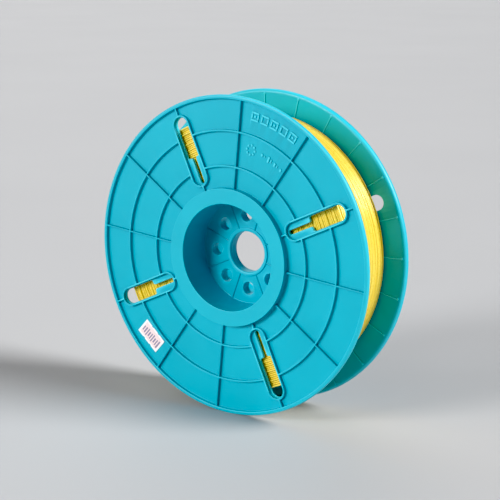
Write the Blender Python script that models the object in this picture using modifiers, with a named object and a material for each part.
"""A cable spool: two identical moulded halves, joined at the mid-plane, wound with fine yellow cable.

World frame: the origin is the centre of the spool, +Y runs along its axis from the front
flange to the rear one, +Z is up and +X is on the right of someone who faces the front flange.
The spool stands on its two rims.

Every piece is drawn in a turning frame, whose Z axis is the spool's axis pointing out of the
half, with height 0 at the mid-plane. Placing a piece then turns that axis to -Y (front) or +Y
(rear). Angles are measured from +X towards +Z, seen from the front.
"""

import math

import bmesh
import bpy
from mathutils import Matrix

MM = 0.001

# Driving dimensions
FLANGE_RADIUS = 115 * MM
RIM_PLANE = 27.9 * MM
BOSS_PLANE = 30.0 * MM
CLEARANCE = 0.3 * MM
MOULD_ANGLE = math.radians(24.4)
SIDES = 72

# Flange disc, with the bead round its rim
DISC_OUTSIDE = RIM_PLANE - 2.3 * MM
DISC_INSIDE = DISC_OUTSIDE - 2.2 * MM
BEAD_WIDTH = 3.0 * MM
RIB_WIDTH = 1.5 * MM
RING_RIB_RADII = (65.0 * MM, 90.0 * MM)
RIB_TOP = RIM_PLANE - 0.1 * MM
RADIAL_RIBS = 12
SINK = 0.8 * MM

# Raised lines on the inside of the disc
INNER_LINES = 24
INNER_LINE_WIDTH = 1.0 * MM
INNER_LINE_HEIGHT = 0.4 * MM
INNER_LINE_END = FLANGE_RADIUS - 2.5 * MM

# Hub: a well from the boss face to a web near the mid-plane, inside a hollow double wall
WELL_RADIUS = 38.2 * MM
WALL = 2.5 * MM
BARREL_RADIUS = 49.5 * MM
HALF_GAP = CLEARANCE / 2
WEB_FACE = 3.7 * MM
WEB_RIB_TOP = WEB_FACE + 0.6 * MM
WEB_RIB_WIDTH = 1.1 * MM
WEB_RIBS = 8
BORE_RADIUS = 14.8 * MM
BORE_CHAMFER = 1.2 * MM
COLLAR_RADIUS = 17.6 * MM
COLLAR_FACE = WEB_FACE + 0.8 * MM

# Drive holes
DRIVE_HOLES = 8
DRIVE_HOLE_RADIUS = 4.8 * MM
DRIVE_CIRCLE_RADIUS = 27.0 * MM
HOLE_SIDES = 16

# Keyhole slots and the raised lip round each
SLOTS = 4
SLOT_HALF_WIDTH = 5.5 * MM
SLOT_OUTER_CENTRE = 99.5 * MM
SLOT_SHOULDER = 75.3 * MM
NARROW_HALF_WIDTH = 1.6 * MM
NARROW_END = 55.5 * MM
SHOULDER_ROUND = 1.6 * MM
LIP_HALF_WIDTH = 7.5 * MM
LIP_INSIDE_HALF_WIDTH = SLOT_HALF_WIDTH + 0.2 * MM
LIP_INNER_CENTRE = 60.5 * MM
LIP_TOP = RIM_PLANE - 0.2 * MM

# Locating pegs and sockets, hidden in the hollow wall of the hub
PEGS = 4
PEG_RADIUS = 1.9 * MM
PEG_REACH = 6.0 * MM
SOCKET_RADIUS = PEG_RADIUS + CLEARANCE
POST_WIDTH = 7.0 * MM
POST_CIRCLE_RADIUS = (WELL_RADIUS + BARREL_RADIUS) / 2

# Winding and price label
WINDING_RADIUS = 98.0 * MM
LABEL_SIZE = (22.0 * MM, 13.0 * MM, 0.2 * MM)
LABEL_RADIUS = 99.7 * MM
LABEL_ANGLE = math.radians(223.7)
LABEL_TURN = math.radians(-42.4)

CYAN_PLASTIC = (0.030, 0.560, 0.700)
YELLOW_CABLE = (0.940, 0.650, 0.030)
WHITE_PAPER = (0.880, 0.800, 0.800)


def clear_scene():
    for obj in list(bpy.data.objects):
        bpy.data.objects.remove(obj, do_unlink=True)


def new_collection(name):
    collection = bpy.data.collections.new(name)
    bpy.context.scene.collection.children.link(collection)
    return collection


def material(name, colour, roughness):
    made = bpy.data.materials.new(name)
    made.use_nodes = True
    shader = made.node_tree.nodes["Principled BSDF"]
    shader.inputs["Base Color"].default_value = (*colour, 1)
    shader.inputs["Roughness"].default_value = roughness
    return made


def arc(centre, radius, start, end, steps):
    """Points of an arc in the plane, angles in degrees, both ends included."""
    angles = (math.radians(start + (end - start) * k / steps) for k in range(steps + 1))
    return [(centre[0] + radius * math.cos(a), centre[1] + radius * math.sin(a)) for a in angles]


def evaluated_mesh(obj):
    graph = bpy.context.evaluated_depsgraph_get()
    return bpy.data.meshes.new_from_object(obj.evaluated_get(graph))


def turned(name, profile, collection):
    """A closed profile of (radius, height) points, turned round the axis.

    A flat facet lies along every slot, which keeps the facets of both halves in line and
    puts a facet under the spool where it stands.
    """
    mesh = bpy.data.meshes.new(name)
    count = len(profile)
    first = MOULD_ANGLE + math.pi / SIDES
    across, along = math.cos(first), math.sin(first)
    points = [(radius * across, radius * along, height) for radius, height in profile]
    mesh.from_pydata(points, [(k, (k + 1) % count) for k in range(count)], [])
    obj = bpy.data.objects.new(name, mesh)
    collection.objects.link(obj)
    screw = obj.modifiers.new("turn", "SCREW")
    screw.axis = "Z"
    screw.steps = screw.render_steps = SIDES
    screw.use_merge_vertices = True
    screw.merge_threshold = 0.01 * MM
    screw.use_smooth_shade = False
    return obj


def extruded(name, outline, low, high):
    """The solid between two heights inside a flat outline."""
    curve = bpy.data.curves.new(name, "CURVE")
    curve.dimensions = "2D"
    curve.fill_mode = "BOTH"
    curve.extrude = (high - low) / 2
    spline = curve.splines.new("POLY")
    spline.points.add(len(outline) - 1)
    for point, (x, y) in zip(spline.points, outline):
        point.co = (x, y, 0, 1)
    spline.use_cyclic_u = True
    drawn = bpy.data.objects.new(name, curve)
    bpy.context.scene.collection.objects.link(drawn)
    solid = bmesh.new()
    solid.from_mesh(evaluated_mesh(drawn))
    bpy.data.objects.remove(drawn, do_unlink=True)
    bmesh.ops.remove_doubles(solid, verts=solid.verts, dist=0.001 * MM)
    bmesh.ops.translate(solid, verts=solid.verts, vec=(0, 0, (high + low) / 2))
    return solid


def block(start, end, width, low, high):
    """A rib lying along +X from one radius to another."""
    solid = bmesh.new()
    size = Matrix.Diagonal((end - start, width, high - low, 1))
    place = Matrix.Translation(((start + end) / 2, 0, (low + high) / 2))
    bmesh.ops.create_cube(solid, size=1, matrix=place @ size)
    return solid


def cylinder(radius, distance, low, high):
    """A pin or a hole parallel to the axis, out along +X."""
    solid = bmesh.new()
    place = Matrix.Translation((distance, 0, (low + high) / 2))
    bmesh.ops.create_cone(
        solid, cap_ends=True, segments=HOLE_SIDES, radius1=radius, radius2=radius, depth=high - low, matrix=place
    )
    return solid


def ring_of(name, solid, count, first, collection):
    """One helper object with copies of a solid, evenly spaced round the axis."""
    mesh = bpy.data.meshes.new(name)
    bmesh.ops.recalc_face_normals(solid, faces=solid.faces)
    solid.to_mesh(mesh)
    solid.free()
    copies = bmesh.new()
    for k in range(count):
        turn = Matrix.Rotation(first + 2 * math.pi * k / count, 4, "Z")
        mesh.transform(turn)
        copies.from_mesh(mesh)
        mesh.transform(turn.inverted())
    copies.to_mesh(mesh)
    copies.free()
    obj = bpy.data.objects.new(name, mesh)
    collection.objects.link(obj)
    obj.hide_render = True
    obj.display_type = "WIRE"
    return obj


def combine(obj, operation, other):
    boolean = obj.modifiers.new(other.name, "BOOLEAN")
    boolean.operation = operation
    boolean.solver = "EXACT"
    boolean.object = other


def ring_rib_profile(radius):
    inner = radius - RIB_WIDTH / 2
    outer = radius + RIB_WIDTH / 2
    return [(inner, DISC_OUTSIDE), (inner, RIB_TOP), (outer, RIB_TOP), (outer, DISC_OUTSIDE)]


def half_profile():
    """Section of one half, from the bore out over the hub and disc, and back along the inside."""
    bead_inside = FLANGE_RADIUS - BEAD_WIDTH
    outside = [
        (BORE_RADIUS, HALF_GAP),
        (BORE_RADIUS, COLLAR_FACE - BORE_CHAMFER),
        (BORE_RADIUS + BORE_CHAMFER, COLLAR_FACE),
        (COLLAR_RADIUS, COLLAR_FACE),
        (COLLAR_RADIUS, WEB_FACE),
        (WELL_RADIUS, WEB_FACE),
        (WELL_RADIUS, BOSS_PLANE),
        (BARREL_RADIUS, BOSS_PLANE),
        (BARREL_RADIUS, DISC_OUTSIDE),
    ]
    for radius in RING_RIB_RADII:
        outside += ring_rib_profile(radius)
    rim = [
        (bead_inside, DISC_OUTSIDE),
        (bead_inside, RIM_PLANE),
        (FLANGE_RADIUS, RIM_PLANE),
        (FLANGE_RADIUS, DISC_INSIDE),
    ]
    inside = [
        (BARREL_RADIUS, DISC_INSIDE),
        (BARREL_RADIUS, HALF_GAP),
        (BARREL_RADIUS - WALL, HALF_GAP),
        (BARREL_RADIUS - WALL, BOSS_PLANE - WALL),
        (WELL_RADIUS + WALL, BOSS_PLANE - WALL),
        (WELL_RADIUS + WALL, HALF_GAP),
    ]
    return outside + rim + inside


def stadium(half_width, inner_centre):
    """An outline with two round ends, lying along +X."""
    outer_end = arc((SLOT_OUTER_CENTRE, 0), half_width, -90, 90, 10)
    inner_end = arc((inner_centre, 0), half_width, 90, 270, 10)
    return outer_end + inner_end


def keyhole():
    """The wide slot, its two rounded shoulders and the narrow slot, lying along +X."""
    wide_end = arc((SLOT_OUTER_CENTRE, 0), SLOT_HALF_WIDTH, -90, 90, 10)
    corner = (SLOT_SHOULDER - SHOULDER_ROUND, NARROW_HALF_WIDTH + SHOULDER_ROUND)
    upper = [(SLOT_SHOULDER, SLOT_HALF_WIDTH)] + arc(corner, SHOULDER_ROUND, 0, -90, 3)
    narrow_end = arc((NARROW_END + NARROW_HALF_WIDTH, 0), NARROW_HALF_WIDTH, 90, 270, 5)
    lower = [(x, -y) for x, y in reversed(upper)]
    return wide_end + upper + narrow_end + lower


def moulded_half(tools):
    """One half of the spool as a mesh in the turning frame."""
    half = turned("moulded_half", half_profile(), tools)
    half.hide_render = True
    quarter_turn = 2 * math.pi / SLOTS
    web_rib = block(COLLAR_RADIUS - SINK, WELL_RADIUS + SINK, WEB_RIB_WIDTH, WEB_FACE - SINK, WEB_RIB_TOP)
    radial_rib = block(
        BARREL_RADIUS - SINK,
        FLANGE_RADIUS - BEAD_WIDTH + SINK,
        RIB_WIDTH,
        DISC_OUTSIDE - SINK,
        RIM_PLANE - 2 * (RIM_PLANE - RIB_TOP),
    )
    lip = extruded("lip", stadium(LIP_HALF_WIDTH, LIP_INNER_CENTRE), DISC_OUTSIDE - SINK, LIP_TOP)
    inside_lip = extruded(
        "inside_lip", stadium(LIP_INSIDE_HALF_WIDTH, LIP_INNER_CENTRE), DISC_OUTSIDE, RIM_PLANE + SINK
    )
    keyhole_cut = extruded("keyhole", keyhole(), DISC_INSIDE - 2 * SINK, RIM_PLANE + 2 * SINK)
    inner_line = block(
        BARREL_RADIUS + 2 * SINK,
        INNER_LINE_END,
        INNER_LINE_WIDTH,
        DISC_INSIDE - INNER_LINE_HEIGHT,
        DISC_INSIDE + SINK,
    )
    drive_hole = cylinder(DRIVE_HOLE_RADIUS, DRIVE_CIRCLE_RADIUS, -SINK, COLLAR_FACE + SINK)
    peg = cylinder(PEG_RADIUS, POST_CIRCLE_RADIUS, -PEG_REACH, BOSS_PLANE - WALL + SINK)
    post = block(
        WELL_RADIUS + WALL - SINK,
        BARREL_RADIUS - WALL + SINK,
        POST_WIDTH,
        2 * HALF_GAP,
        BOSS_PLANE - WALL + SINK,
    )
    socket = cylinder(SOCKET_RADIUS, POST_CIRCLE_RADIUS, -SINK, PEG_REACH + CLEARANCE)
    steps = [
        ("UNION", "radial_ribs", radial_rib, RADIAL_RIBS, MOULD_ANGLE),
        ("UNION", "slot_lips", lip, SLOTS, MOULD_ANGLE),
        ("DIFFERENCE", "lip_pockets", inside_lip, SLOTS, MOULD_ANGLE),
        ("DIFFERENCE", "keyhole_slots", keyhole_cut, SLOTS, MOULD_ANGLE),
        ("UNION", "web_ribs", web_rib, WEB_RIBS, MOULD_ANGLE),
        ("DIFFERENCE", "drive_holes", drive_hole, DRIVE_HOLES, MOULD_ANGLE + math.pi / DRIVE_HOLES),
        ("UNION", "inner_lines", inner_line, INNER_LINES, MOULD_ANGLE + math.pi / INNER_LINES),
        ("UNION", "socket_posts", post, PEGS, MOULD_ANGLE - quarter_turn / 4),
        ("DIFFERENCE", "sockets", socket, PEGS, MOULD_ANGLE - quarter_turn / 4),
        ("UNION", "pegs", peg, PEGS, MOULD_ANGLE + quarter_turn / 4),
    ]
    for operation, name, solid, count, first in steps:
        combine(half, operation, ring_of(name, solid, count, first, tools))
    return evaluated_mesh(half)


def winding_mesh(tools):
    """All the wound cable as one turned ring, clear of the disc's raised lines."""
    side = DISC_INSIDE - INNER_LINE_HEIGHT - CLEARANCE
    inside = BARREL_RADIUS + CLEARANCE
    profile = [(inside, -side), (inside, side), (WINDING_RADIUS, side), (WINDING_RADIUS, -side)]
    ring = turned("wound_ring", profile, tools)
    ring.hide_render = True
    return evaluated_mesh(ring)


def label_mesh():
    """The price label, lying on the front disc between the rim bead and a ring rib."""
    mesh = bpy.data.meshes.new("price_label")
    solid = bmesh.new()
    centre = (
        LABEL_RADIUS * math.cos(LABEL_ANGLE),
        LABEL_RADIUS * math.sin(LABEL_ANGLE),
        DISC_OUTSIDE + CLEARANCE + LABEL_SIZE[2] / 2,
    )
    place = Matrix.Translation(centre) @ Matrix.Rotation(LABEL_TURN, 4, "Z")
    bmesh.ops.create_cube(solid, size=1, matrix=place @ Matrix.Diagonal((*LABEL_SIZE, 1)))
    solid.to_mesh(mesh)
    solid.free()
    return mesh


def place(name, mesh, turn, finish, collection):
    obj = bpy.data.objects.new(name, mesh)
    collection.objects.link(obj)
    obj.matrix_world = turn
    mesh.shade_smooth()
    mesh.set_sharp_from_angle(angle=math.radians(30))
    mesh.materials.clear()
    mesh.materials.append(finish)
    return obj


def main():
    clear_scene()
    parts = new_collection("cable_spool")
    tools = new_collection("moulding_tools")
    to_front = Matrix.Rotation(math.pi / 2, 4, "X")
    slot_direction = (math.cos(MOULD_ANGLE), 0, math.sin(MOULD_ANGLE))
    to_rear = Matrix.Rotation(math.pi, 4, slot_direction) @ to_front
    half = moulded_half(tools)
    place("front_flange", half, to_front, material("front_plastic", CYAN_PLASTIC, 0.42), parts)
    place("rear_flange", half.copy(), to_rear, material("rear_plastic", CYAN_PLASTIC, 0.42), parts)
    place("cable_winding", winding_mesh(tools), to_front, material("cable_jacket", YELLOW_CABLE, 0.3), parts)
    place("price_label", label_mesh(), to_front, material("label_paper", WHITE_PAPER, 0.7), parts)


main()
